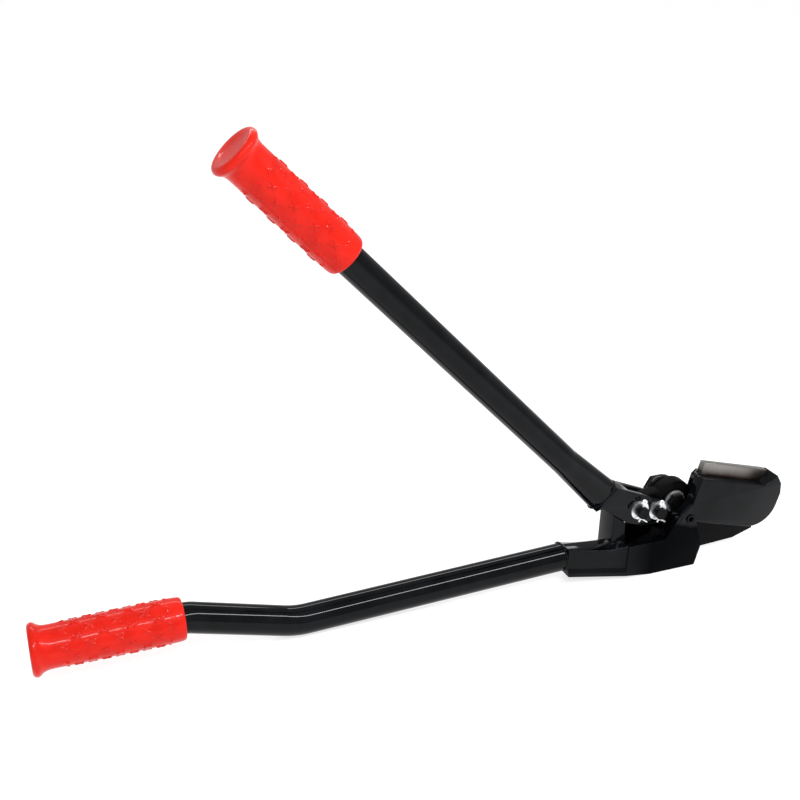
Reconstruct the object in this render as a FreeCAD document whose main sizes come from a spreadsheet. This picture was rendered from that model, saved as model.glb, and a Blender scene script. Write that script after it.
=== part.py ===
"""Two-handed cutter for steel strapping, standing closed on its heel and lower handle.

Every piece is drawn about the pivot: X runs toward the jaw nose, Z is up, and Y = 0 is the
plane of the two handles, with the cutting side at negative Y. Each piece's Placement carries
the pivot to its place, so that the heel stands on Z = 0 and the tool is centred in X and Y.
"""
import FreeCAD, Part
import os
import re
import Sketcher

SIZES = {
    # place of the pivot
    "pivot_x": 200.95, "pivot_height": 54.1, "plane_y": 0.3,
    # working fits
    "blade_gap": 0.3, "fork_play": 0.2, "pivot_fit": 0.05, "web_gap": 0.5, "stop_gap": 0.3,
    # jaw, in a frame turned down by jaw_droop
    "jaw_droop": 15.4, "plate_thick": 10, "plate_top": 27, "jaw_end": 90.5, "nose_top": 37, "nose_round": 22,
    "blade_length": 64.5, "blade_height": 47.3, "blade_thick": 6, "blade_start": 12, "edge_drop": 10.3,
    # lever
    "lever_thick": 10, "hub_radius": 17, "blade_overlap": 2.8, "insert_height": 9.5, "insert_thick": 5,
    "insert_length": 62, "insert_start": 18,
    # heel casting
    "heel_back": 48, "heel_lift": 2.7, "flat_start": 26, "trough_height": 19, "toe_reach": 16.2,
    "toe_lean": 4.2, "toe_height": 17.8, "wall_height": 29, "wall_thick": 5, "floor_thick": 12,
    "rear_thick": 4, "boss_radius": 13.5, "boss_proud": 0.5, "slot_start": 20, "neck_x": 7.3, "neck_z": 1.7,
    "neck_step": 12.2, "neck_fall": 9.6,
    "shank_reach": 96, "shank_half": 11.4, "shank_slope": 4.5, "flange_proud": 2, "flange_tall": 3.5,
    "flare_start": 62, "flare_rise": 4.1, "flare_half": 17, "spigot_length": 45,
    # fork and its pins
    "ear_thick": 4.8, "pin_radius": 4.8, "pin_one_x": 34.9, "pin_one_z": 0.6, "pin_two_x": 18.2,
    "pin_two_z": -3, "pin_reach": 7.5, "pin_head": 6.8, "pin_head_deep": 2.4, "washer_radius": 7.7, "washer_thick": 1.6,
    "wire_radius": 0.9, "fork_tube_x": 65.2, "fork_tube_z": 14.2, "tang_length": 38, "tang_half": 7.5,
    "tang_thick": 6,
    # handles
    "tube_od": 22, "tube_wall": 2, "handle_angle": 45.5, "upper_length": 397.6, "swage_length": 50,
    "swage_tall": 27.5, "swage_wide": 18.5, "swage_shift": 0.9,
    "run_length": 217, "run_rise": 2.1, "jog_length": 80, "jog_rise": 15.8, "end_fall": 0.6,
    "bend_radius": 60, "end_bend_radius": 20,
    # grips
    "grip_length": 102, "grip_od": 32, "mouth_od": 30.5, "mouth_length": 5, "flange_od": 37,
    "flange_thick": 6, "grip_end": 3.5,
    # fasteners
    "bolt_radius": 6, "thread_radius": 4, "bolt_across": 19, "bolt_head": 6.5, "nut_across": 13,
    "nut_thick": 3.2, "front_washer": 1, "collar_thick": 1, "collar_radius": 9.5, "spacer_radius": 9, "bush_radius": 9,
    "bolt_end": 0.4,
    "screw_radius": 2, "screw_head": 3.8, "screw_head_deep": 2, "screw_length": 12, "insert_screw": 8.5,
    "lock_screw_radius": 3.6, "lock_screw_x": 6.6, "lock_screw_z": -9.9, "lock_socket": 4,
    "nose_pin_radius": 2, "nose_pin_u": 84, "nose_pin_v": 26,
    "bead_height": 1.4, "bead_width": 3,
}

doc = FreeCAD.newDocument("strap_cutter")
sheet = doc.addObject("Spreadsheet::Sheet", "Sizes")
for row, (alias, size) in enumerate(SIZES.items(), start=1):
    sheet.set(f"A{row}", alias)
    sheet.set(f"B{row}", str(size))
    sheet.setAlias(f"B{row}", alias)
doc.recompute()

# Levels along Y, from the cutting side to the rear, each worked out from the lever
LEVER_FRONT = "(-lever_thick / 2)"
LEVER_REAR = "(lever_thick / 2)"
BLADE_REAR = f"({LEVER_FRONT} - blade_gap)"
BLADE_FRONT = f"({BLADE_REAR} - blade_thick)"
PLATE_FRONT = f"({BLADE_FRONT} - plate_thick)"
EAR_INNER = "(lever_thick / 2 + fork_play)"
EAR_OUTER = f"({EAR_INNER} + ear_thick)"
WEB_FRONT = f"({EAR_OUTER} + web_gap)"
WEB_REAR = f"({WEB_FRONT} + rear_thick)"
COLLAR_FRONT = f"({BLADE_REAR} - collar_thick)"
WASHER_FRONT = f"({COLLAR_FRONT} - front_washer)"
NUT_FRONT = f"({WASHER_FRONT} - nut_thick)"

FLOOR = "(-pivot_height)"
WALL_TOP = "(wall_height - pivot_height)"
SHANK_Z = "(tube_od / 2 - pivot_height + run_length * sin(run_rise))"
LOWER_EDGE = "(blade_overlap - edge_drop)"


def bound(text):
    """Write the sheet's name in front of every size in an expression."""
    return re.sub(r"[a-z_]+", lambda m: f"Sizes.{m.group()}" if m.group() in SIZES else m.group(), str(text))


def number(text):
    """Value of an expression now."""
    return float(sheet.evalExpression(bound(text)))


def jaw(along, above):
    """Place in X and Z of a point of the jaw's own frame."""
    return (f"(({along}) * cos(jaw_droop) + ({above}) * sin(jaw_droop))",
            f"(({above}) * cos(jaw_droop) - ({along}) * sin(jaw_droop))")


PIVOT_PLACE = ("pivot_x", "plane_y", "pivot_height")


def stand(piece, x="0", y="0", z="0"):
    """Put a piece's origin at a place measured from the pivot."""
    for axis, home, text in zip("xyz", PIVOT_PLACE, (x, y, z)):
        piece.setExpression(f"Placement.Base.{axis}", bound(f"{home} + {text}"))


def make_body(name):
    body = doc.addObject("PartDesign::Body", name)
    body.Label = name
    stand(body)
    return body


def make_sketch(body, name, plane="XZ_Plane", offset="0"):
    """Sketch on one of the body's own planes; an XZ sketch is put at Y = offset."""
    sketch = body.newObject("Sketcher::SketchObject", name)
    for feature in body.Origin.OriginFeatures:
        if feature.Role == plane:
            sketch.AttachmentSupport = (feature, [""])
    sketch.MapMode = "FlatFace"
    sign = "-" if plane == "XZ_Plane" else ""
    sketch.setExpression("AttachmentOffset.Base.z", bound(f"{sign}({offset})"))
    return sketch


def fix_point(sketch, geometry, point, place):
    """Tie one point of a sketch to its two expressions."""
    for kind, text in zip(("DistanceX", "DistanceY"), place):
        rule = sketch.addConstraint(Sketcher.Constraint(kind, geometry, point, number(text)))
        sketch.setExpression(f"Constraints[{rule}]", bound(text))


def polygon(sketch, places):
    """Closed outline with straight sides through the given places."""
    corners = [FreeCAD.Vector(number(x), number(z), 0) for x, z in places]
    first = sketch.GeometryCount
    count = len(corners)
    for i in range(count):
        sketch.addGeometry(Part.LineSegment(corners[i], corners[(i + 1) % count]), False)
    for i in range(count):
        following = first + (i + 1) % count
        sketch.addConstraint(Sketcher.Constraint("Coincident", first + i, 2, following, 1))
        fix_point(sketch, first + i, 1, places[i])


def circle(sketch, place, radius):
    centre = FreeCAD.Vector(number(place[0]), number(place[1]), 0)
    ring = sketch.addGeometry(Part.Circle(centre, FreeCAD.Vector(0, 0, 1), number(radius)), False)
    fix_point(sketch, ring, 3, place)
    rule = sketch.addConstraint(Sketcher.Constraint("Radius", ring, number(radius)))
    sketch.setExpression(f"Constraints[{rule}]", bound(radius))


def hexagon(sketch, place, across):
    """Regular hexagon of the given size across its flats."""
    polygon(sketch, [(f"{place[0]} + ({across}) / sqrt(3) * cos({turn})",
                      f"{place[1]} + ({across}) / sqrt(3) * sin({turn})") for turn in range(0, 360, 60)])


def make_pad(body, sketch, front, rear, taper=None):
    """Pad an XZ sketch that lies at the rear level forward to the front level."""
    pad = body.newObject("PartDesign::Pad", sketch.Name + "_pad")
    pad.Profile = sketch
    pad.setExpression("Length", bound(f"({rear}) - ({front})"))
    if taper:
        pad.setExpression("TaperAngle", bound(taper))
    sketch.Visibility = False
    doc.recompute()
    return pad


def make_pocket(body, sketch, front, rear):
    """Cut an XZ sketch that lies at the front level back to the rear level."""
    before = body.Shape.Volume
    pocket = body.newObject("PartDesign::Pocket", sketch.Name + "_pocket")
    pocket.Profile = sketch
    pocket.setExpression("Length", bound(f"({rear}) - ({front})"))
    doc.recompute()
    assert body.Shape.Volume < before - 0.1, sketch.Name
    return pocket


def plate(body, name, places, front, rear):
    """Flat piece of a body between two Y levels."""
    sketch = make_sketch(body, name, offset=rear)
    polygon(sketch, places)
    return make_pad(body, sketch, front, rear)


def disc(body, name, places, radius, front, rear, inner=None, taper=None):
    """Round pieces on Y axes between two levels, with a bore where inner is given."""
    sketch = make_sketch(body, name, offset=rear)
    for place in places:
        circle(sketch, place, radius)
        if inner:
            circle(sketch, place, inner)
    return make_pad(body, sketch, front, rear, taper)


def drill(body, name, places, radius, front, rear):
    """Round holes on Y axes between two levels."""
    sketch = make_sketch(body, name, offset=front)
    for place in places:
        circle(sketch, place, radius)
    return make_pocket(body, sketch, front, rear)


def revolve(body, sketch, axis="H_Axis"):
    turned = body.newObject("PartDesign::Revolution", sketch.Name + "_turned")
    turned.Profile = sketch
    turned.ReferenceAxis = (sketch, [axis])
    turned.Angle = 360
    sketch.Visibility = False
    doc.recompute()
    return turned


def round_edges(body, feature, places, radius):
    """Round the edges that run along Y through the given places."""
    spots = [(number(x), number(z)) for x, z in places]
    names = []
    for index, edge in enumerate(feature.Shape.Edges, start=1):
        ends = [v.Point for v in edge.Vertexes]
        if len(ends) == 2 and abs(ends[0].y - ends[1].y) > 0.5:
            if any(all(abs(p.x - x) + abs(p.z - z) < 0.02 for p in ends) for x, z in spots):
                names.append(f"Edge{index}")
    fillet = body.newObject("PartDesign::Fillet", feature.Name + "_round")
    fillet.Base = (feature, names)
    fillet.setExpression("Radius", bound(radius))
    doc.recompute()
    return fillet


def cut(name, blank, tools):
    """Take the tools' shapes out of a blank, so the piece fits them face to face."""
    for index, tool in enumerate(tools):
        step = doc.addObject("Part::Cut", f"{name}_{index}")
        step.Base = blank
        step.Tool = tool
        step.Label = name if index == len(tools) - 1 else f"{name}_{index}"
        blank = step
    doc.recompute()
    return blank


nodes = {}
PIVOT = ("0", "0")

# ---------------------------------------------------------------- fasteners in the frame
BLADE_END = "(blade_start + blade_length)"
BLADE_MIDDLE = "(blade_height / 2 - edge_drop)"
upper_screw_places = [jaw(f"blade_start + blade_length * {share}", BLADE_MIDDLE) for share in (0.25, 0.75)]
screws = make_body("upper_blade_screws")
disc(screws, "upper_shank", upper_screw_places, "screw_radius", f"{BLADE_REAR} - screw_length", BLADE_REAR)
disc(screws, "upper_head", upper_screw_places, "screw_head", f"{BLADE_REAR} - screw_head_deep", BLADE_REAR,
     taper="-atan((screw_head - screw_radius) / screw_head_deep)")
nodes["upper_blade_screws"] = screws

# Headless screw through the neck that bears on the front of the blade and locks it
lock_screw = make_body("lock_screw")
lock_place = ("lock_screw_x", "lock_screw_z")
disc(lock_screw, "lock_screw_stem", [lock_place], "lock_screw_radius", f"{PLATE_FRONT} - 0.8", BLADE_FRONT)
lock_socket = make_sketch(lock_screw, "lock_socket_outline", offset=f"{PLATE_FRONT} - 0.8")
hexagon(lock_socket, lock_place, "lock_socket")
make_pocket(lock_screw, lock_socket, f"{PLATE_FRONT} - 0.8", f"{PLATE_FRONT} + 2.2")
nodes["lock_screw"] = lock_screw

nose_pin = make_body("nose_pin")
disc(nose_pin, "nose_pin_stem", [jaw("nose_pin_u", "nose_pin_v")], "nose_pin_radius",
     f"{PLATE_FRONT} + 0.4", BLADE_REAR)
nodes["nose_pin"] = nose_pin

# ---------------------------------------------------------------- upper blade
blade_blank = make_body("upper_blade_blank")
plate(blade_blank, "upper_blade_outline",
      [jaw("blade_start", "-edge_drop"), jaw(BLADE_END, "-edge_drop"),
       jaw(BLADE_END, "blade_height - edge_drop"), jaw("blade_start", "blade_height - edge_drop")],
      BLADE_FRONT, BLADE_REAR)
nodes["upper_blade"] = cut("upper_blade", blade_blank, [screws])

# ---------------------------------------------------------------- jaw frame casting
TOE = "toe_reach"
casting = make_body("jaw_casting")
NOSE_LOW = jaw("jaw_end", "-edge_drop")
NECK = [("-slot_start", FLOOR), (TOE, FLOOR), (f"{TOE} + toe_lean", f"{FLOOR} + toe_height"),
        jaw("blade_start + 4", "-edge_drop"), NOSE_LOW, jaw("jaw_end", "plate_top - 5"),
        jaw("jaw_end - 3.2", "nose_top - 6.4"), jaw("jaw_end - 10", "nose_top"),
        jaw(f"{BLADE_END} - 5", "plate_top"), jaw("blade_start - 5.5", "plate_top"), ("neck_x", "neck_z"),
        ("neck_x - neck_step", "neck_z - neck_fall"), ("-slot_start + 7", f"{WALL_TOP} + 3.6"),
        ("-slot_start + 5", WALL_TOP), ("-slot_start", WALL_TOP)]
front = plate(casting, "front_plate", NECK, PLATE_FRONT, BLADE_FRONT)
front = round_edges(casting, front, [NOSE_LOW], "nose_round")
NOSE = [jaw(f"{BLADE_END} + 0.2", "-edge_drop"), NOSE_LOW, jaw("jaw_end", "plate_top - 5"),
        jaw("jaw_end - 3.2", "nose_top - 6.4"), jaw("jaw_end - 10", "nose_top"),
        jaw(f"{BLADE_END} + 0.2", "nose_top - 0.5")]
SHOULDER = [jaw("blade_start - 0.2", "12"), jaw("blade_start - 0.2", "plate_top + 2.5"),
            jaw("blade_start - 2", "plate_top + 2.5"), jaw("blade_start - 5", "plate_top - 2"),
            jaw("blade_start - 4.5", "16"), jaw("blade_start - 3.5", "12")]
nose_block = plate(casting, "nose_block", NOSE, BLADE_FRONT, BLADE_REAR)
plate(casting, "shoulder", SHOULDER, BLADE_FRONT, BLADE_REAR)
HEEL_LOW = f"({FLOOR} + heel_lift)"
TROUGH_TOP = f"({FLOOR} + trough_height)"
WEB = [("-heel_back", HEEL_LOW), ("-flat_start", FLOOR), (TOE, FLOOR),
       (f"{TOE} + toe_lean", f"{FLOOR} + toe_height"), ("boss_radius", "0"), ("-boss_radius", "0"),
       ("-slot_start - 12", f"{WALL_TOP} - 3"), ("-heel_back", TROUGH_TOP)]
plate(casting, "rear_web", WEB, WEB_FRONT, WEB_REAR)
disc(casting, "pivot_boss", [PIVOT], "boss_radius", WEB_FRONT, f"{WEB_REAR} + boss_proud")
plate(casting, "front_wall", [("-heel_back", HEEL_LOW), ("-flat_start", FLOOR), ("-slot_start + 1", FLOOR),
                              ("-slot_start + 1", WALL_TOP), ("-heel_back", WALL_TOP)],
      PLATE_FRONT, f"{PLATE_FRONT} + wall_thick")
plate(casting, "heel_floor", [("-heel_back", HEEL_LOW), ("-flat_start", FLOOR), ("-slot_start", FLOOR),
                              ("-slot_start", f"{FLOOR} + floor_thick"),
                              ("-heel_back", f"{FLOOR} + floor_thick")],
      PLATE_FRONT, WEB_REAR)

# Shank: a bar with a flange along its lower front, which widens to the full depth of the heel
def cross_section(name, reach, front, rear, levels):
    """Section across the heel casting, reach back from the pivot: bottom, top and rear top levels."""
    bottom, top, rear_top = levels
    sketch = make_sketch(casting, name, "YZ_Plane", f"-({reach})")
    polygon(sketch, [(f"{front} - flange_proud", bottom), (rear, bottom), (rear, rear_top), ("0", top),
                     (front, top), (front, f"{bottom} + 2 * flange_tall"),
                     (f"{front} - flange_proud", f"{bottom} + flange_tall")])
    return sketch


def loft(name, start, end):
    """Straight-sided solid between two sections of the casting."""
    solid = casting.newObject("PartDesign::AdditiveLoft", name)
    solid.Profile = start
    solid.Sections = [end]
    solid.Ruled = True
    doc.recompute()


SHANK_LEVELS = (f"({SHANK_Z} - shank_half)", f"({SHANK_Z} + shank_half)",
                f"({SHANK_Z} + shank_half - shank_slope)")
FLARE_LEVELS = (f"({FLOOR} + flare_rise)", f"({WALL_TOP} - 1.7)", TROUGH_TOP)
loft("shank", cross_section("shank_back", "shank_reach", "-shank_half", "shank_half", SHANK_LEVELS),
     cross_section("shank_front", "flare_start", "-flare_half", "shank_half", FLARE_LEVELS))
loft("flare", cross_section("flare_back", "flare_start", "-flare_half", "shank_half", FLARE_LEVELS),
     cross_section("flare_front", "heel_back", f"{PLATE_FRONT} + flange_proud", WEB_REAR,
                   (HEEL_LOW, WALL_TOP, TROUGH_TOP)))

# Spigot that the lower handle slides over, on the handle's own tilted axis
spigot = make_sketch(casting, "spigot_outline")


def on_run(along, aside):
    """Point of the lower handle's long run, measured back from the shank's face."""
    return (f"(-shank_reach - ({along}) * cos(run_rise) + ({aside}) * sin(run_rise))",
            f"({SHANK_Z} - ({along}) * sin(run_rise) - ({aside}) * cos(run_rise))")


SPIGOT_RADIUS = "(tube_od / 2 - tube_wall)"
polygon(spigot, [on_run("-4", "0"), on_run("spigot_length", "0"),
                 on_run("spigot_length", f"{SPIGOT_RADIUS} - 1"),
                 on_run("spigot_length - 1", SPIGOT_RADIUS), on_run("-4", SPIGOT_RADIUS)])
revolve(casting, spigot, "Edge1")

# Stop block under the fork, its slope parallel to the fork's lower edge
FORK_LOW_LEFT = ("(-fork_tube_x - 3.1)", "(fork_tube_z - 7)")
FORK_LOW_RIGHT = ("(-pin_one_x - 9.3)", "(pin_one_z - 10.9)")
SLOPE = f"(({FORK_LOW_RIGHT[1]} - {FORK_LOW_LEFT[1]}) / ({FORK_LOW_RIGHT[0]} - {FORK_LOW_LEFT[0]}))"


def stop_top(along):
    """Height of the stop's slope at an X place."""
    drop = f"stop_gap * sqrt(1 + {SLOPE} * {SLOPE})"
    return f"({FORK_LOW_LEFT[1]} + ({along} - {FORK_LOW_LEFT[0]}) * {SLOPE} - {drop})"


STOP_LEFT = f"({FORK_LOW_LEFT[0]} + 11)"
STOP_RIGHT = f"({FORK_LOW_RIGHT[0]} - 2)"
STOP_BASE = f"({FLOOR} + floor_thick - 4)"
plate(casting, "stop_block", [(STOP_LEFT, STOP_BASE), (f"{STOP_RIGHT} + 2", STOP_BASE),
                              (STOP_RIGHT, stop_top(STOP_RIGHT)), (STOP_LEFT, stop_top(STOP_LEFT))],
      f"-({EAR_OUTER})", EAR_OUTER)
drill(casting, "pivot_hole", [PIVOT], "bolt_radius", WEB_FRONT, f"{WEB_REAR} + boss_proud")
drill(casting, "lock_hole", [lock_place], "lock_screw_radius", PLATE_FRONT, BLADE_FRONT)
nodes["jaw_frame"] = cut("jaw_frame", casting, [screws, nose_pin])

# ---------------------------------------------------------------- pivot
bolt = make_body("pivot_bolt")
BOLT_FACE = f"({WEB_REAR} + boss_proud)"
head_outline = make_sketch(bolt, "bolt_head_outline", offset=f"{BOLT_FACE} + bolt_head")
hexagon(head_outline, PIVOT, "bolt_across")
make_pad(bolt, head_outline, BOLT_FACE, f"{BOLT_FACE} + bolt_head")
disc(bolt, "bolt_shank", [PIVOT], "bolt_radius", COLLAR_FRONT, BOLT_FACE)
disc(bolt, "bolt_thread", [PIVOT], "thread_radius", f"{NUT_FRONT} - bolt_end", COLLAR_FRONT)
nodes["pivot_bolt"] = bolt

spacer = make_body("pivot_spacer")
disc(spacer, "spacer_ring", [PIVOT], "spacer_radius", f"{LEVER_REAR} + blade_gap", WEB_FRONT,
     inner="bolt_radius")
nodes["pivot_spacer"] = spacer

collar = make_body("pivot_collar")
disc(collar, "collar_ring", [PIVOT], "collar_radius", COLLAR_FRONT, BLADE_REAR, inner="bolt_radius")
nodes["pivot_collar"] = collar

washer = make_body("pivot_washer")
disc(washer, "washer_ring", [PIVOT], "collar_radius - 0.3", WASHER_FRONT, COLLAR_FRONT, inner="thread_radius")
nodes["pivot_washer"] = washer

nut = make_body("pivot_nut")
nut_outline = make_sketch(nut, "nut_outline", offset=WASHER_FRONT)
hexagon(nut_outline, PIVOT, "nut_across")
circle(nut_outline, PIVOT, "thread_radius")
make_pad(nut, nut_outline, NUT_FRONT, WASHER_FRONT)
nodes["pivot_nut"] = nut

# ---------------------------------------------------------------- cutting lever
INSERT_END = "(insert_start + insert_length)"
INSERT_REAR = f"({LEVER_FRONT} + insert_thick)"
lower_screw_places = [jaw(f"insert_start + insert_length * {share}", f"{LOWER_EDGE} - insert_height / 2")
                      for share in (0.2, 0.8)]
insert_screws = make_body("lower_blade_screws")
disc(insert_screws, "lower_shank", lower_screw_places, "screw_radius", LEVER_FRONT,
     f"{LEVER_FRONT} + insert_screw")
lower_head = make_sketch(insert_screws, "lower_head", offset=f"{LEVER_FRONT} + screw_head_deep")
for place in lower_screw_places:
    circle(lower_head, place, "screw_radius")
make_pad(insert_screws, lower_head, LEVER_FRONT, f"{LEVER_FRONT} + screw_head_deep",
         taper="atan((screw_head - screw_radius) / screw_head_deep)")
nodes["lower_blade_screws"] = insert_screws

insert_blank = make_body("lower_blade_blank")
INSERT = [jaw("insert_start", LOWER_EDGE), jaw(INSERT_END, LOWER_EDGE),
          jaw(INSERT_END, f"{LOWER_EDGE} - insert_height"),
          jaw("insert_start", f"{LOWER_EDGE} - insert_height")]
plate(insert_blank, "lower_blade_outline", INSERT, LEVER_FRONT, INSERT_REAR)
nodes["lower_blade"] = cut("lower_blade", insert_blank, [insert_screws])

lever = make_body("lever_blank")
JAW_LOW = [jaw("hub_radius - 2", LOWER_EDGE), jaw("jaw_end - 4", LOWER_EDGE),
           jaw("jaw_end - 3", f"{LOWER_EDGE} - 6"),
           ("84", "5 - pivot_height + 7"), ("65", "6 - pivot_height"), ("34", "4.5 - pivot_height"),
           ("12", "10 - pivot_height"), ("-hub_radius * 0.7", "-hub_radius * 0.71"), ("0", "0")]
plate(lever, "lower_jaw", JAW_LOW, LEVER_FRONT, LEVER_REAR)
disc(lever, "lever_hub", [PIVOT], "hub_radius", LEVER_FRONT, LEVER_REAR)
TONGUE = [("0", "hub_radius - 6"), ("-pin_one_x - 4", "pin_one_z + 8"), ("-pin_one_x - 7.5", "pin_one_z + 5"),
          ("-pin_one_x - 7.5", "pin_one_z - 4"), ("-pin_one_x", "pin_one_z - 9"), ("0", "-hub_radius + 3")]
plate(lever, "tongue", TONGUE, LEVER_FRONT, LEVER_REAR)
drill(lever, "bush_hole", [PIVOT], "bush_radius", LEVER_FRONT, LEVER_REAR)

# ---------------------------------------------------------------- fork pins
pin_places = [("-pin_one_x", "pin_one_z"), ("-pin_two_x", "pin_two_z")]
pins = make_body("fork_pins_blank")
disc(pins, "fork_pin_stem", pin_places, "pin_radius", f"-({EAR_OUTER}) - pin_reach", EAR_OUTER)
disc(pins, "fork_pin_head", pin_places, "pin_head", f"{EAR_OUTER} - pin_head_deep", EAR_OUTER,
     taper="-atan((pin_head - pin_radius) / pin_head_deep)")
nodes["cutting_lever"] = cut("cutting_lever", lever, [insert_blank, insert_screws, pins])

bush = make_body("pivot_bush")
disc(bush, "bush_ring", [PIVOT], "bush_radius", LEVER_FRONT, LEVER_REAR, inner="bolt_radius + pivot_fit")
nodes["pivot_bush"] = bush

fork_washers = make_body("fork_washers")
disc(fork_washers, "fork_washer_ring", pin_places, "washer_radius", f"-({EAR_OUTER}) - washer_thick",
     f"-({EAR_OUTER})", inner="pin_radius")
nodes["fork_washers"] = fork_washers


def split_pin(name, place, turn):
    """Folded wire through a fork pin: an eye above, one short and one long leg below."""
    level = f"(-({EAR_OUTER}) - washer_thick - (pin_reach - washer_thick) / 2)"
    pieces = []

    def stretch(part, start, lean, length, radius="wire_radius"):
        rod = doc.addObject("Part::Cylinder", f"{name}_{part}")
        rod.setExpression("Radius", bound(radius))
        rod.setExpression("Height", bound(length))
        rod.Placement.Rotation = FreeCAD.Rotation(FreeCAD.Vector(0, 1, 0), 180 + turn + lean)
        stand(rod, f"{place[0]} - ({start}) * sin({turn})", level, f"{place[1]} - ({start}) * cos({turn})")
        pieces.append(rod)

    stretch("stem", "-pin_radius - 2", 0, "2 * pin_radius + 3.4", "wire_radius * 1.25")
    stretch("short_leg", "pin_radius + 0.6", 24, "wire_radius * 3.5", "wire_radius * 0.9")
    stretch("long_leg", "pin_radius + 0.6", -62, "wire_radius * 8", "wire_radius * 0.9")
    eye = doc.addObject("Part::Torus", f"{name}_eye")
    eye.setExpression("Radius1", bound("wire_radius * 1.9"))
    eye.setExpression("Radius2", bound("wire_radius"))
    eye.Placement.Rotation = FreeCAD.Rotation(FreeCAD.Vector(1, 0, 0), 90)
    stand(eye, f"{place[0]} + (pin_radius + 3.6) * sin({turn})", level,
          f"{place[1]} + (pin_radius + 3.6) * cos({turn})")
    pieces.append(eye)
    wire = doc.addObject("Part::MultiFuse", name)
    wire.Shapes = pieces
    return wire


wires = doc.addObject("Part::Compound", "split_pins")
wires.Links = [split_pin("split_pin_one", pin_places[0], 8), split_pin("split_pin_two", pin_places[1], 4)]
doc.recompute()
nodes["split_pins"] = wires
nodes["fork_pins"] = cut("fork_pins", pins, [wires])

# ---------------------------------------------------------------- handle fork
fork = make_body("fork_blank")


def on_handle(along, aside):
    """Point of the upper handle, along its axis from the fork and square to it."""
    return (f"(-fork_tube_x - ({along}) * cos(handle_angle) + ({aside}) * sin(handle_angle))",
            f"(fork_tube_z + ({along}) * sin(handle_angle) + ({aside}) * cos(handle_angle))")


FORK = [on_handle("0", "-swage_tall / 2 + 1.5"), on_handle("0", "swage_tall / 2 - 1.5"),
        ("-pin_two_x - 2.4", "pin_two_z + 10.6"), ("-pin_two_x + 5", "pin_two_z + 8"),
        ("-pin_two_x + 7.4", "pin_two_z + 2"), ("-pin_two_x + 7.2", "pin_two_z - 4"),
        ("-pin_two_x + 2.4", "pin_two_z - 10.4"), ("-pin_two_x - 2", "pin_two_z - 11.7"),
        ("-pin_one_x + 3.2", "pin_one_z - 15.2"), FORK_LOW_RIGHT, FORK_LOW_LEFT]
plate(fork, "fork_outline", FORK, f"-({EAR_OUTER})", EAR_OUTER)
slot = make_sketch(fork, "fork_slot", offset=f"-({EAR_INNER})")
polygon(slot, [("-pin_one_x - 9", "pin_one_z - 30"), ("10", "pin_one_z - 30"), ("10", "pin_one_z + 30"),
               ("-pin_one_x - 9", "pin_one_z + 30")])
make_pocket(fork, slot, f"-({EAR_INNER})", EAR_INNER)
TANG = [on_handle("-3", "-tang_half"), on_handle("tang_length", "-tang_half"),
        on_handle("tang_length", "tang_half"), on_handle("-3", "tang_half")]
plate(fork, "fork_tang", TANG, "-tang_thick / 2", "tang_thick / 2")
nodes["handle_fork"] = cut("handle_fork", fork, [pins])

# ---------------------------------------------------------------- upper handle
TURN_UPPER = "handle_angle - 180"


def aim(piece, x, z, turn):
    """Point a piece that is drawn along X down a handle's axis."""
    piece.Placement.Rotation = FreeCAD.Rotation(FreeCAD.Vector(0, 1, 0), number(turn))
    piece.setExpression("Placement.Rotation.Angle", bound(turn))
    stand(piece, x, "0", z)


def ring_sketch(body, name, offset, radius):
    sketch = make_sketch(body, name, "YZ_Plane", offset)
    circle(sketch, ("0", "0"), radius)
    return sketch


def ellipse_sketch(body, name, offset, wide, tall, above):
    """Upright ellipse across a handle, its centre above the handle's axis."""
    sketch = make_sketch(body, name, "YZ_Plane", offset)
    centre = FreeCAD.Vector(0, -number(above), 0)
    top = centre + FreeCAD.Vector(0, number(tall), 0)
    side = centre + FreeCAD.Vector(number(wide), 0, 0)
    oval = sketch.addGeometry(Part.Ellipse(top, side, centre), False)
    sketch.exposeInternalGeometry(oval)
    fix_point(sketch, oval, 3, ("0", f"-({above})"))
    sketch.addConstraint(Sketcher.Constraint("Vertical", oval + 1))
    for axis, half in ((oval + 1, tall), (oval + 2, wide)):
        rule = sketch.addConstraint(Sketcher.Constraint("Distance", axis, 2 * number(half)))
        sketch.setExpression(f"Constraints[{rule}]", bound(f"2 * ({half})"))
    return sketch


upper_blank = make_body("upper_tube_blank")
swage = upper_blank.newObject("PartDesign::AdditiveLoft", "swaged_end")
swage.Profile = ellipse_sketch(upper_blank, "swage_oval", "0", "swage_wide / 2", "swage_tall / 2",
                               "swage_shift")
swage.Sections = [ring_sketch(upper_blank, "swage_round", "swage_length", "tube_od / 2")]
doc.recompute()
straight = ring_sketch(upper_blank, "upper_round", "swage_length", "tube_od / 2")
upper_pad = upper_blank.newObject("PartDesign::Pad", "upper_round_pad")
upper_pad.Profile = straight
upper_pad.setExpression("Length", bound("upper_length - swage_length - grip_end"))
doc.recompute()
bore = ring_sketch(upper_blank, "upper_bore", "upper_length - grip_end", "tube_od / 2 - tube_wall")
upper_hole = upper_blank.newObject("PartDesign::Pocket", "upper_bore_pocket")
upper_hole.Profile = bore
upper_hole.setExpression("Length", bound("upper_length - swage_length - grip_end"))
doc.recompute()
aim(upper_blank, "-fork_tube_x", "fork_tube_z", TURN_UPPER)
doc.recompute()
nodes["upper_handle_tube"] = cut("upper_handle_tube", upper_blank, [fork])


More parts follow.
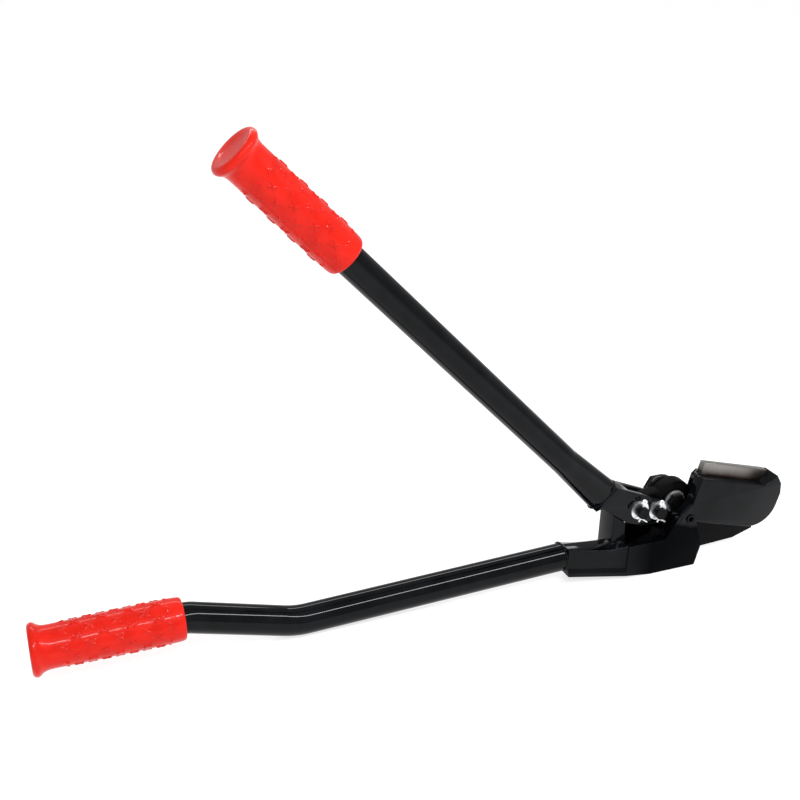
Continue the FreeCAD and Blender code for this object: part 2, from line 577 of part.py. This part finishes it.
def grip(name, x, z, turn):
    """Dipped sleeve with a closed, flanged end, drawn from its mouth along X."""
    body = make_body(name)
    sketch = make_sketch(body, name + "_profile")
    polygon(sketch, [("0", "tube_od / 2"), ("0", "mouth_od / 2"), ("mouth_length", "grip_od / 2"),
                     ("grip_length - flange_thick - 3", "grip_od / 2"),
                     ("grip_length - flange_thick", "flange_od / 2 - 0.6"),
                     ("grip_length - flange_thick / 2", "flange_od / 2"),
                     ("grip_length - 0.8", "flange_od / 2 - 1"), ("grip_length", "flange_od / 2 - 3"),
                     ("grip_length", "0"), ("grip_length - grip_end", "0"),
                     ("grip_length - grip_end", "tube_od / 2")])
    revolve(body, sketch)
    aim(body, x, z, turn)
    nodes[name] = body


UPPER_MOUTH = on_handle("upper_length - grip_length", "0")
grip("upper_grip", UPPER_MOUTH[0], UPPER_MOUTH[1], TURN_UPPER)

# ---------------------------------------------------------------- lower handle
BEND_ONE = on_run("run_length", "0")
BEND_TWO = (f"({BEND_ONE[0]} - jog_length * cos(jog_rise))", f"({BEND_ONE[1]} + jog_length * sin(jog_rise))")
STRAIGHT_END = "(grip_length - grip_end + 3)"
TUBE_END = (f"({BEND_TWO[0]} - {STRAIGHT_END} * cos(end_fall))",
            f"({BEND_TWO[1]} - {STRAIGHT_END} * sin(end_fall))")
ONE_TANGENT = "(bend_radius * tan((run_rise + jog_rise) / 2))"
TWO_TANGENT = "(end_bend_radius * tan((jog_rise + end_fall) / 2))"

# The tube and its weld start where they clear the shank's upright face
TUBE_START = "(tube_od / 2 * tan(run_rise))"
BEAD_START = "(shank_half * tan(run_rise))"

lower_tube = make_body("lower_handle_tube")
path = make_sketch(lower_tube, "lower_axis")
path_places = [
    on_run(TUBE_START, "0"), on_run(f"run_length - {ONE_TANGENT}", "0"),
    (f"({BEND_ONE[0]} - {ONE_TANGENT} * cos(jog_rise))", f"({BEND_ONE[1]} + {ONE_TANGENT} * sin(jog_rise))"),
    (f"({BEND_TWO[0]} + {TWO_TANGENT} * cos(jog_rise))", f"({BEND_TWO[1]} - {TWO_TANGENT} * sin(jog_rise))"),
    (f"({BEND_TWO[0]} - {TWO_TANGENT} * cos(end_fall))", f"({BEND_TWO[1]} - {TWO_TANGENT} * sin(end_fall))"),
    TUBE_END]
path_points = [FreeCAD.Vector(number(x), number(z), 0) for x, z in path_places]


def bend_arc(before, start, end, turned, radius):
    """Arc that leaves start in the direction it came from before."""
    heading = (path_points[start] - path_points[before]).normalize()
    aside = FreeCAD.Vector(-heading.y, heading.x, 0) * turned
    centre = path_points[start] + aside * number(radius)
    spokes = [path_points[k] - centre for k in (start, end)]
    angles = [FreeCAD.Vector(1, 0, 0).getAngle(s) * (1 if s.y >= 0 else -1) for s in spokes]
    if turned < 0:
        angles.reverse()
    ring = Part.Circle(centre, FreeCAD.Vector(0, 0, 1), number(radius))
    return Part.ArcOfCircle(ring, angles[0], angles[1] if angles[1] > angles[0] else angles[1] + 6.283185307)


for k in (0, 2, 4):
    path.addGeometry(Part.LineSegment(path_points[k], path_points[k + 1]), False)
path.addGeometry(bend_arc(0, 1, 2, -1, "bend_radius"), False)
path.addGeometry(bend_arc(2, 3, 4, 1, "end_bend_radius"), False)
for line, k in enumerate((0, 2, 4)):
    fix_point(path, line, 1, path_places[k])
    fix_point(path, line, 2, path_places[k + 1])
for arc, radius, joined in ((3, "bend_radius", ((2, 0, 2), (1, 1, 1))),
                            (4, "end_bend_radius", ((1, 1, 2), (2, 2, 1)))):
    for arc_end, line, line_end in joined:
        path.addConstraint(Sketcher.Constraint("Coincident", arc, arc_end, line, line_end))
    rule = path.addConstraint(Sketcher.Constraint("Radius", arc, number(radius)))
    path.setExpression(f"Constraints[{rule}]", bound(radius))
doc.recompute()


def tube_profile(name, radius):
    """Circle square to the start of the lower handle's axis."""
    sketch = make_sketch(lower_tube, name, "YZ_Plane", "0")
    circle(sketch, ("0", "0"), radius)
    sketch.MapMode = "Deactivated"
    tilt = FreeCAD.Rotation(FreeCAD.Vector(0, 1, 0), -number("run_rise"))
    sketch.Placement = FreeCAD.Placement(FreeCAD.Vector(0, 0, 0), tilt.multiply(quarter_turn()))
    for axis, text in zip("xz", on_run(TUBE_START, "0")):
        sketch.setExpression(f"Placement.Base.{axis}", bound(text))
    return sketch


def quarter_turn():
    """Turn that makes a sketch's normal point along X."""
    return FreeCAD.Rotation(FreeCAD.Vector(0, 1, 0), 90)


for kind, name, radius in (("AdditivePipe", "lower_wall", "tube_od / 2"),
                           ("SubtractivePipe", "lower_bore", "tube_od / 2 - tube_wall")):
    sweep = lower_tube.newObject(f"PartDesign::{kind}", name)
    sweep.Profile = tube_profile(name + "_round", radius)
    sweep.Spine = (path, [f"Edge{k}" for k in (1, 4, 2, 5, 3)])
    doc.recompute()
nodes["lower_handle_tube"] = lower_tube

grip_mouth = (f"({TUBE_END[0]} + (grip_length - grip_end) * cos(end_fall))",
              f"({TUBE_END[1]} + (grip_length - grip_end) * sin(end_fall))")
grip("lower_grip", grip_mouth[0], grip_mouth[1], "180 - end_fall")

# Weld bead round the joint of the lower handle and the shank
weld = make_body("lower_handle_weld")
bead = make_sketch(weld, "bead_profile")
polygon(bead, [on_run(BEAD_START, "tube_od / 2"), on_run(BEAD_START, "tube_od / 2 + bead_height"),
               on_run("bead_width * 0.6", "tube_od / 2 + bead_height * 0.8"),
               on_run("bead_width", "tube_od / 2")])
axis_ends = [FreeCAD.Vector(*[number(text) for text in on_run(along, "0")], 0) for along in ("0", "10")]
axis_line = bead.addGeometry(Part.LineSegment(*axis_ends), True)
fix_point(bead, axis_line, 1, on_run("0", "0"))
fix_point(bead, axis_line, 2, on_run("10", "0"))
revolve(weld, bead, "Axis0")
nodes["lower_handle_weld"] = weld

# ---------------------------------------------------------------- place, check and export
doc.recompute()
for item in doc.Objects:
    assert "Invalid" not in item.State and "Error" not in item.State, (item.Name, item.State)
os.makedirs("parts", exist_ok=True)
for name, item in nodes.items():
    assert item.Label == name, item.Label
    assert item.Shape.isValid(), name
    item.Shape.exportStep(f"parts/{name}.step")
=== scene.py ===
"""A two-handed strap cutter: enamelled frame, ground blades and dipped vinyl grips."""
import math

import bpy
from mathutils import Euler, Matrix, Vector


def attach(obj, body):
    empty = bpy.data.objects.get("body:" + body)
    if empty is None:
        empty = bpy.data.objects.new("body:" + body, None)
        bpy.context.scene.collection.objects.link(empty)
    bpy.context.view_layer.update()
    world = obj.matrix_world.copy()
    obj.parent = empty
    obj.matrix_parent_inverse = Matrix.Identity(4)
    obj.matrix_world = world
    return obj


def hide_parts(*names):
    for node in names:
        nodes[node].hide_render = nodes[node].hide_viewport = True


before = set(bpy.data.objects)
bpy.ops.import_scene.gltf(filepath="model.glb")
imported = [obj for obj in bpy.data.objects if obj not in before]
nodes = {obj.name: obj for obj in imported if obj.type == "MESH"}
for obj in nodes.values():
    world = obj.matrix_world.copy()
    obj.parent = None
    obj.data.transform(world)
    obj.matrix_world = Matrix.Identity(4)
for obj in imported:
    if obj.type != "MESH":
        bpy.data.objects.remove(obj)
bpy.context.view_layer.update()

FRAME_BODY = "frame_and_lower_handle"
LEVER_BODY = "lever_and_upper_handle"

# ---------------------------------------------------------------- camera
# A lens close to 50 mm stands at the front left, higher than the upper handle, and looks down
# on the object by 24 degrees.
CAMERA_PLACE = (-0.28952, -0.64389, 0.4766)
CAMERA_TURN = math.radians(21.7)
CAMERA_LIFT = math.radians(23.6)
CAMERA_ROLL = math.radians(0.8)
LENS = 49.5

bpy.ops.object.camera_add(location=CAMERA_PLACE)
camera = bpy.context.object
looking = Euler((math.pi / 2 - CAMERA_LIFT, 0, -CAMERA_TURN)).to_matrix()
camera.rotation_euler = (looking @ Matrix.Rotation(CAMERA_ROLL, 3, "Z")).to_euler()
camera.data.lens = LENS
bpy.context.scene.camera = camera

# ---------------------------------------------------------------- studio
# A pale floor that glows evenly, so that it stays white out to the far edge, in a dimmer room.
# A long narrow strip lamp gives the highlights, with a small fill box and a strip behind.
FLOOR_SIZE = 60
FLOOR_DROP = 0.0006
FLOOR_COLOUR = (0.4, 0.4, 0.4, 1)
FLOOR_GLOW = 0.72
ROOM_LIGHT = 0.6
WHITE = (1, 1, 1, 1)

bpy.ops.mesh.primitive_plane_add(size=FLOOR_SIZE, location=(0, 0, -FLOOR_DROP))
floor = bpy.context.object
floor.name = "studio_floor"
floor_finish = bpy.data.materials.new("studio_floor")
floor_finish.use_nodes = True
floor_shader = floor_finish.node_tree.nodes["Principled BSDF"]
floor_shader.inputs["Base Color"].default_value = FLOOR_COLOUR
floor_shader.inputs["Roughness"].default_value = 0.8
floor_shader.inputs["Emission Color"].default_value = WHITE
floor_shader.inputs["Emission Strength"].default_value = FLOOR_GLOW
floor.data.materials.append(floor_finish)

room = bpy.data.worlds.new("studio_room")
room.use_nodes = True
room.node_tree.nodes["Background"].inputs["Color"].default_value = WHITE
room.node_tree.nodes["Background"].inputs["Strength"].default_value = ROOM_LIGHT
bpy.context.scene.world = room
bpy.context.scene.view_settings.view_transform = "Standard"


def soft_box(name, place, target, width, height, power):
    """Rectangular lamp at a place, aimed at a target."""
    bpy.ops.object.light_add(type="AREA", location=place)
    lamp = bpy.context.object
    lamp.name = name
    lamp.rotation_euler = (Vector(target) - Vector(place)).to_track_quat("-Z", "Y").to_euler()
    lamp.data.shape = "RECTANGLE"
    lamp.data.size = width
    lamp.data.size_y = height
    lamp.data.energy = power


soft_box("key_strip", (0.5, -1.05, 1.5), (0.1, 0, 0.1), width=2.4, height=0.13, power=38)
soft_box("fill_box", (-0.9, -1.2, 1.3), (0, 0, 0.1), width=0.5, height=0.5, power=5)
soft_box("back_strip", (0.1, 1.3, 1.2), (0, 0, 0.15), width=1.6, height=0.2, power=9)


# ---------------------------------------------------------------- black enamel
# The jaw frame and the fork are steel castings and the handles are steel tube, all sprayed and
# stoved gloss black. The film flows smooth on tube and leaves a faint orange peel, and on the
# castings it follows the skin of the sand mould. The fork is pinned to the lever's tongue.
CAST_EDGE = 0.0006
MERGE_DISTANCE = 0.000002
FLAT_ANGLE = math.radians(0.6)
SHARP_ANGLE = math.radians(28)
SMOOTH_ANGLE = math.radians(32)
# Painted shade on the heel's front face, a patch with less coat and film: its sloping upper limit and
# where it starts and ends
HEEL_SLOPE = 0.275
HEEL_TOP = (0.098, 0.102)
HEEL_FADE_IN = (0.146, 0.178)
HEEL_PAINTED_SHADE = 0.85


class Wire:
    """An output of a material's node that takes Python arithmetic."""

    def __init__(self, finish, socket):
        self.finish = finish
        self.socket = socket

    def maths(self, operation, *values):
        inputs = dict(enumerate(values))
        return self.finish.node("ShaderNodeMath", {"operation": operation}, inputs)

    def __add__(self, other):
        return self.maths("ADD", self, other)

    __radd__ = __add__

    def __sub__(self, other):
        return self.maths("SUBTRACT", self, other)

    def __rsub__(self, other):
        return self.maths("SUBTRACT", other, self)

    def __mul__(self, other):
        return self.maths("MULTIPLY", self, other)


class Finish:
    """A material being built round one Principled shader."""

    def __init__(self, name, colour, roughness, metallic=0.0, coat=0.0):
        self.material = bpy.data.materials.new(name)
        self.material.use_nodes = True
        self.tree = self.material.node_tree
        self.shader = self.tree.nodes["Principled BSDF"]
        self.set("Base Color", (*colour, 1))
        self.set("Roughness", roughness)
        self.set("Metallic", metallic)
        self.set("Coat Weight", coat)

    def set(self, name, value):
        """Give a socket of the shader a value or a link."""
        if isinstance(value, Wire):
            self.tree.links.new(value.socket, self.shader.inputs[name])
        else:
            self.shader.inputs[name].default_value = value

    def node(self, kind, settings=None, inputs=None, output=0):
        """Add a node: its settings first, then the values or links of its sockets."""
        made = self.tree.nodes.new(kind)
        for name, value in (settings or {}).items():
            setattr(made, name, value)
        for name, value in (inputs or {}).items():
            if isinstance(value, Wire):
                self.tree.links.new(value.socket, made.inputs[name])
            else:
                made.inputs[name].default_value = value
        return Wire(self, made.outputs[output])

    def place(self, stretch=(1, 1, 1), turn=(0, 0, 0)):
        """Object coordinates, stretched and turned."""
        where = self.node("ShaderNodeTexCoord", output="Object")
        return self.node("ShaderNodeMapping", inputs={"Vector": where, "Scale": stretch, "Rotation": turn})

    def noise(self, scale, detail=3, where=None):
        """Fractal noise from 0 to 1 over the piece; scale is cells in a metre."""
        inputs = {"Vector": where or self.place(), "Scale": scale, "Detail": detail}
        return self.node("ShaderNodeTexNoise", inputs=inputs)

    def spread(self, value, low, high, start=0.3, stop=0.7):
        """Run a 0 to 1 value from low to high between two of its levels."""
        inputs = {"Value": value, "From Min": start, "From Max": stop, "To Min": low, "To Max": high}
        return self.node("ShaderNodeMapRange", {"clamp": True}, inputs)

    def mix(self, share, first, second):
        """Mix two colours by a 0 to 1 share."""
        made = self.tree.nodes.new("ShaderNodeMix")
        made.data_type = "RGBA"
        for index, value in ((0, share), (6, first), (7, second)):
            if isinstance(value, Wire):
                self.tree.links.new(value.socket, made.inputs[index])
            else:
                made.inputs[index].default_value = value
        return Wire(self, made.outputs[2])

    def bump(self, height, depth):
        """Raise the surface by a height of 0 to 1, to a depth in metres."""
        self.set("Normal", self.node("ShaderNodeBump", inputs={"Height": height, "Distance": depth}))

    def east_and_height(self):
        """Object coordinates along the tool and upward."""
        where = self.node("ShaderNodeTexCoord", output="Object")
        east = self.node("ShaderNodeSeparateXYZ", inputs={"Vector": where}, output="X")
        height = self.node("ShaderNodeSeparateXYZ", inputs={"Vector": where}, output="Z")
        return east, height


def enamel(name, skin_scale, skin_depth, dull=None):
    """Gloss black with a thin film of dust and the texture of what is under it; a dull mask, when given,
    paints shade.
    """
    finish = Finish(name, (0.002, 0.0024, 0.003), 0.2)
    finish.set("Specular IOR Level", 0)
    finish.set("Coat Roughness", 0.045)
    finish.set("Coat IOR", 1.27)
    haze = finish.spread(finish.noise(55, 4), 0, 1)
    dust = finish.spread(finish.noise(1900, 2), 0, 1, 0.68, 0.8)
    # Where a dull mask is given it paints shade: less film and less coat there, so the patch reads darker.
    gloss = 1 - dull(finish) if dull else 1
    film = (haze * 0.25 + dust * 0.2) * gloss
    finish.set("Base Color", finish.mix(film, (0.0006, 0.0008, 0.0012, 1), (0.011, 0.013, 0.017, 1)))
    finish.set("Roughness", 0.17 + haze * 0.12 + dust * 0.2)
    finish.set("Coat Weight", gloss * 0.8)
    peel = finish.noise(420, 2)
    skin = finish.noise(skin_scale, 4)
    finish.bump(peel * 0.25 + skin, skin_depth)
    return finish.material


def painted_heel_shade(finish):
    """1 on the middle of the heel's front face, where shade is painted in as a duller, darker patch, and 0
    elsewhere.
    """
    east, height = finish.east_and_height()
    drift = finish.noise(40, 2) * 0.008
    low = finish.spread(east * HEEL_SLOPE + height + drift, 1, 0, *HEEL_TOP)
    return low * finish.spread(east + drift, 0, HEEL_PAINTED_SHADE, *HEEL_FADE_IN)


tube_enamel = enamel("tube_enamel", 900, 0.00003)
# The cast enamel carries painted shade on the middle of the heel's front face.
cast_enamel_painted_shade = enamel("cast_enamel_painted_shade", 1300, 0.00012, painted_heel_shade)
plain_enamel = enamel("plain_enamel", 1300, 0.00012)


def softened(name, body, finish, width, segments=3):
    """Put a copy of a node with rounded edges in the node's place."""
    source = nodes[name]
    made = source.copy()
    made.data = source.data.copy()
    made.name = name + "_soft"
    bpy.context.collection.objects.link(made)
    bpy.ops.object.select_all(action="DESELECT")
    made.select_set(True)
    bpy.context.view_layer.objects.active = made
    bpy.ops.object.mode_set(mode="EDIT")
    bpy.ops.mesh.select_all(action="SELECT")
    bpy.ops.mesh.remove_doubles(threshold=MERGE_DISTANCE)
    bpy.ops.mesh.normals_make_consistent(inside=False)
    bpy.ops.mesh.dissolve_limited(angle_limit=FLAT_ANGLE)
    bpy.ops.object.mode_set(mode="OBJECT")
    rounding = made.modifiers.new("rounding", "BEVEL")
    rounding.width = width
    rounding.segments = segments
    rounding.limit_method = "ANGLE"
    rounding.angle_limit = SHARP_ANGLE
    rounding.use_clamp_overlap = False
    bpy.ops.object.modifier_apply(modifier=rounding.name)
    bpy.ops.object.shade_smooth_by_angle(angle=SMOOTH_ANGLE)
    made.data.materials.clear()
    made.data.materials.append(finish)
    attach(made, body)
    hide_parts(name)


softened("jaw_frame", FRAME_BODY, cast_enamel_painted_shade, CAST_EDGE)
softened("handle_fork", LEVER_BODY, plain_enamel, CAST_EDGE)

# ---------------------------------------------------------------- forged lever
# The lever is a forging left with its own black skin, duller than the enamel. It turns on the
# pivot bolt and is pinned to the fork.
FORGED_EDGE = 0.0008


def forging():
    """Dull black forging scale with a soft mottle."""
    finish = Finish("forged_black", (0.005, 0.005, 0.005), 0.5)
    finish.set("Specular IOR Level", 0.04)
    scale = finish.spread(finish.noise(160, 4), 0, 1)
    finish.set("Base Color", finish.mix(scale, (0.0008, 0.0008, 0.0008, 1), (0.003, 0.003, 0.0033, 1)))
    finish.set("Roughness", 0.42 + scale * 0.16)
    finish.bump(finish.noise(700, 4), 0.00015)
    return finish.material


forged_black = forging()
softened("cutting_lever", LEVER_BODY, forged_black, FORGED_EDGE)

# ---------------------------------------------------------------- weld beads
# The lower handle is welded round the shank and the upper handle round the end of the fork.
# Both beads are mild steel, left rippled as laid and enamelled over.
RUN_RISE = math.radians(2.1)
HANDLE_RISE = math.radians(45.5)
LOWER_JOINT = Vector((0.10475, 0.0003, 0.019))
UPPER_JOINT = Vector((0.1364, 0.0003, 0.0689))
LOWER_HALF = 0.0111
UPPER_HALF_SIDE = 0.0093
UPPER_HALF_UP = 0.0136
BEAD = 0.0008
RIPPLES = 34
RING_SEGMENTS = 8 * RIPPLES
RING_TUBE = 0.25


def weld_ring(name, centre, axis, half_side, half_up, body):
    """Rippled bead round an oval joint that is square to an axis."""
    side = Vector((0, 1, 0))
    up = axis.cross(side)
    bpy.ops.object.select_all(action="DESELECT")
    bpy.ops.mesh.primitive_torus_add(major_segments=RING_SEGMENTS, minor_segments=14,
                                     major_radius=1, minor_radius=RING_TUBE)
    made = bpy.context.object
    made.name = name
    for vertex in made.data.vertices:
        turn = math.atan2(vertex.co.y, vertex.co.x)
        ripple = BEAD * (0.8 + 0.35 * abs(math.sin(turn * RIPPLES / 2)) + 0.12 * math.sin(turn * 5))
        out = (math.hypot(vertex.co.x, vertex.co.y) - 1) / RING_TUBE * ripple
        spoke = side * math.cos(turn) * (half_side + out) + up * math.sin(turn) * (half_up + out)
        vertex.co = centre + spoke + axis * vertex.co.z / RING_TUBE * ripple
    bpy.ops.object.shade_smooth()
    made.data.materials.append(plain_enamel)
    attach(made, body)
    return made


run_axis = Vector((-math.cos(RUN_RISE), 0, -math.sin(RUN_RISE)))
lower_bead = weld_ring("lower_weld_bead", LOWER_JOINT, run_axis, LOWER_HALF, LOWER_HALF, FRAME_BODY)
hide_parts("lower_handle_weld")
handle_axis = Vector((-math.cos(HANDLE_RISE), 0, math.sin(HANDLE_RISE)))
weld_ring("upper_weld_bead", UPPER_JOINT, handle_axis, UPPER_HALF_SIDE, UPPER_HALF_UP,
          LEVER_BODY)

# ---------------------------------------------------------------- blades and fasteners
# The blades are hardened tool steel, ground all over and screwed to their holders. Screws and
# the pivot are oil-blacked, the washers and split pins zinc plated and the bush bronze.
JAW_DROOP = math.radians(15.4)
PIVOT_ALONG = 0.1794
HOLDER_EDGE = 0.1325
BLADE_EDGE = 0.0003
GRINDING_STRETCH = (1, 1, 0.06)
GRINDING_TURN = (0, -JAW_DROOP, 0)


def ground_steel():
    """Tool steel with fine grinding lines across its length."""
    finish = Finish("ground_steel", (0.6, 0.6, 0.62), 0.28, metallic=1.0)
    lines = finish.noise(2600, 3, finish.place(GRINDING_STRETCH, GRINDING_TURN))
    cloud = finish.spread(finish.noise(70, 3), 0, 1)
    finish.set("Base Color", finish.mix(cloud, (0.3, 0.29, 0.28, 1), (0.44, 0.44, 0.45, 1)))
    finish.set("Roughness", 0.2 + lines * 0.2 + cloud * 0.08)
    finish.bump(lines, 0.00003)
    return finish.material


def painted_shade_blade():
    """The same steel with painted shade: dark brown just above its holder's edge, and a painted dark
    reflection towards its far end.
    """
    finish = Finish("painted_shade_blade", (0.4, 0.4, 0.4), 0.3, metallic=1.0)
    east, height = finish.east_and_height()
    above = east * math.sin(JAW_DROOP) + height * math.cos(JAW_DROOP) - HOLDER_EDGE
    along = east * math.cos(JAW_DROOP) - height * math.sin(JAW_DROOP) - PIVOT_ALONG
    lines = finish.noise(2400, 3, finish.place(GRINDING_STRETCH, GRINDING_TURN))
    shade_edge_noise = finish.noise(120, 4)
    # Painted shade in a dark brown band above the holder's edge, and a painted dark reflection growing
    # towards the far end; the noise only breaks up their edges.
    unshaded_above = finish.spread(above + shade_edge_noise * 0.003, 0, 1, 0.0015, 0.0095)
    unshaded_along = finish.spread(along + shade_edge_noise * 0.012, 1, 0.35, 0.03, 0.085)
    bright = finish.mix(unshaded_above, (0.035, 0.022, 0.017, 1), (0.27, 0.262, 0.25, 1))
    finish.set("Base Color", finish.mix(unshaded_along, (0.05, 0.035, 0.03, 1), bright))
    finish.set("Roughness", 0.24 + lines * 0.22)
    finish.bump(lines, 0.00003)
    return finish.material


def plated(name, dull, bright, rough):
    """Plating with small clouds of tarnish."""
    finish = Finish(name, bright, rough, metallic=1.0)
    cloud = finish.spread(finish.noise(350, 4), 0, 1)
    finish.set("Base Color", finish.mix(cloud, (*dull, 1), (*bright, 1)))
    finish.set("Roughness", rough + cloud * 0.12)
    finish.bump(finish.noise(2500, 2), 0.00002)
    return finish.material


blade_steel = ground_steel()
upper_blade_steel = painted_shade_blade()
zinc = plated("zinc_plate", (0.78, 0.79, 0.8), (0.93, 0.94, 0.95), 0.3)
black_oxide = plated("black_oxide", (0.006, 0.006, 0.007), (0.014, 0.014, 0.015), 0.38)
bronze = plated("bronze", (0.3, 0.19, 0.08), (0.55, 0.36, 0.16), 0.35)

finishes = {
    "jaw_frame": cast_enamel_painted_shade, "cutting_lever": cast_enamel_painted_shade, "handle_fork": cast_enamel_painted_shade,
    "lower_handle_tube": tube_enamel, "upper_handle_tube": tube_enamel, "lower_handle_weld": cast_enamel_painted_shade,
    "upper_blade": upper_blade_steel, "lower_blade": blade_steel, "nose_pin": black_oxide,
    "upper_blade_screws": black_oxide, "lower_blade_screws": black_oxide, "lock_screw": black_oxide,
    "pivot_bolt": black_oxide, "pivot_spacer": black_oxide, "pivot_collar": black_oxide,
    "pivot_nut": black_oxide, "pivot_washer": zinc, "fork_washers": zinc, "split_pins": zinc,
    "fork_pins": black_oxide, "pivot_bush": bronze}
for name, material in finishes.items():
    for slot in nodes[name].material_slots:
        slot.material = material
softened("upper_blade", FRAME_BODY, upper_blade_steel, BLADE_EDGE, segments=2)

# ---------------------------------------------------------------- vinyl grips
# Each grip is a soft red vinyl sleeve, pushed on the tube with its closed, rolled end against
# the tube's end. A lattice of raised strokes is moulded into its outside.
LOWER_GRIP_RISE = math.radians(-0.6)
GRIP_ROUND = 200
GRIP_ROWS = 230
LATTICE_COLUMNS = 8
LATTICE_PITCH = 0.018
STROKE_HEIGHT = 0.0009
LATTICE_FADE = 0.004
# Half the width and half the length of a stroke and the fade at its ends, as shares of the pitch
STROKE_HALF = 0.055
STROKE_REACH = 0.34
STROKE_FADE = 0.05
STROKE_ROUNDING = 0.6
LATTICE_START = 0.008
LATTICE_STOP = 0.083
# Outline from inside the mouth to the middle of the closed end: along the grip, from the axis
GRIP_OUTLINE = [(0.0012, 0.0111), (0, 0.0116), (0, 0.0139), (0.0008, 0.0148), (0.003, 0.0153),
                (0.008, 0.0155), (0.05, 0.0153), (0.086, 0.0148), (0.0915, 0.0149), (0.0948, 0.0159),
                (0.0967, 0.0176), (0.0984, 0.0184), (0.1002, 0.0181), (0.1016, 0.0168), (0.102, 0.0148),
                (0.1016, 0.0124), (0.1008, 0.0088), (0.1004, 0.0042), (0.1004, 0.0)]


def smooth_outline(points, rows):
    """Places evenly spread along a smooth curve through the points."""
    curve = bpy.data.curves.new("outline", "CURVE")
    curve.dimensions = "3D"
    spline = curve.splines.new("NURBS")
    spline.points.add(len(points) - 1)
    for point, (along, out) in zip(spline.points, points):
        point.co = (along, out, 0, 1)
    spline.order_u = 3
    spline.use_endpoint_u = True
    spline.resolution_u = 24
    holder = bpy.data.objects.new("outline", curve)
    fine = [v.co.copy() for v in bpy.data.meshes.new_from_object(holder).vertices]
    bpy.data.objects.remove(holder)
    lengths = [0.0]
    for before, after in zip(fine, fine[1:]):
        lengths.append(lengths[-1] + (after - before).length)
    places = []
    index = 0
    for row in range(rows + 1):
        wanted = lengths[-1] * row / rows
        while index < len(fine) - 2 and lengths[index + 1] < wanted:
            index += 1
        share = (wanted - lengths[index]) / (lengths[index + 1] - lengths[index])
        places.append(fine[index].lerp(fine[index + 1], min(share, 1)))
    return places


def near_line(value):
    """Distance of a value from the nearest whole number."""
    return abs(value - round(value))


def stroke(across, along):
    """Height from 0 to 1 of a stroke that runs where across is whole and fades between crossings."""
    rise = max(0, 1 - near_line(across) / STROKE_HALF)
    fade = min(max((STROKE_REACH - near_line(along)) / STROKE_FADE, 0), 1)
    return rise ** STROKE_ROUNDING * fade


def lattice(along, turn):
    """Height of the moulded lattice at a place on the grip."""
    begun = min(max((along - LATTICE_START) / LATTICE_FADE, 0), 1)
    shown = begun * min(max((LATTICE_STOP - along) / LATTICE_FADE, 0), 1)
    column = turn / (2 * math.pi) * LATTICE_COLUMNS
    first = along / LATTICE_PITCH + column
    second = along / LATTICE_PITCH - column
    return STROKE_HEIGHT * shown * max(stroke(first, second), stroke(second, first))


def vinyl():
    """Soft red vinyl, smooth and a little cloudy, with a fine moulded grain."""
    finish = Finish("red_vinyl", (0.6, 0.01, 0.004), 0.36, coat=0.34)
    finish.set("Specular IOR Level", 0.08)
    finish.set("Coat Roughness", 0.07)
    finish.set("Coat IOR", 1.32)
    finish.set("Subsurface Weight", 0.06)
    finish.set("Subsurface Radius", (0.004, 0.001, 0.0006))
    cloud = finish.spread(finish.noise(90, 4), 0, 1)
    finish.set("Base Color", finish.mix(cloud, (0.5, 0.008, 0.003, 1), (0.62, 0.012, 0.0045, 1)))
    finish.set("Roughness", 0.3 + cloud * 0.14)
    finish.bump(finish.noise(1800, 3), 0.00003)
    return finish.material


red_vinyl = vinyl()


def end_centre(name, axis):
    """Centre of a node's flat end face in the direction of axis."""
    points = [v.co for v in nodes[name].data.vertices]
    reach = max(p.dot(axis) for p in points)
    face = [p for p in points if p.dot(axis) > reach - 0.00002]
    return (Vector(map(min, zip(*face))) + Vector(map(max, zip(*face)))) / 2


def grip(name, rise, body):
    """Roll a sheet into the grip's outline, raise its lattice and push it on its handle."""
    axis = Vector((-math.cos(rise), 0, math.sin(rise)))
    mouth = end_centre(name, -axis)
    side = Vector((0, 1, 0))
    up = axis.cross(side)
    outline = smooth_outline(GRIP_OUTLINE, GRIP_ROWS)
    bpy.ops.object.select_all(action="DESELECT")
    bpy.ops.mesh.primitive_grid_add(x_subdivisions=GRIP_ROWS, y_subdivisions=GRIP_ROUND, size=1)
    made = bpy.context.object
    made.name = name + "_dipped"
    for vertex in made.data.vertices:
        row = outline[round((vertex.co.x + 0.5) * GRIP_ROWS)]
        turn = (vertex.co.y + 0.5) * 2 * math.pi
        out = row.y + lattice(row.x, turn)
        spoke = side * math.cos(turn) + up * math.sin(turn)
        vertex.co = mouth + axis * row.x + spoke * out
    bpy.ops.object.mode_set(mode="EDIT")
    bpy.ops.mesh.select_all(action="SELECT")
    bpy.ops.mesh.remove_doubles(threshold=0.000005)
    bpy.ops.mesh.normals_make_consistent(inside=False)
    bpy.ops.object.mode_set(mode="OBJECT")
    bpy.ops.object.shade_smooth()
    made.data.materials.append(red_vinyl)
    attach(made, body)
    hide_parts(name)


grip("upper_grip", HANDLE_RISE, LEVER_BODY)
grip("lower_grip", LOWER_GRIP_RISE, FRAME_BODY)
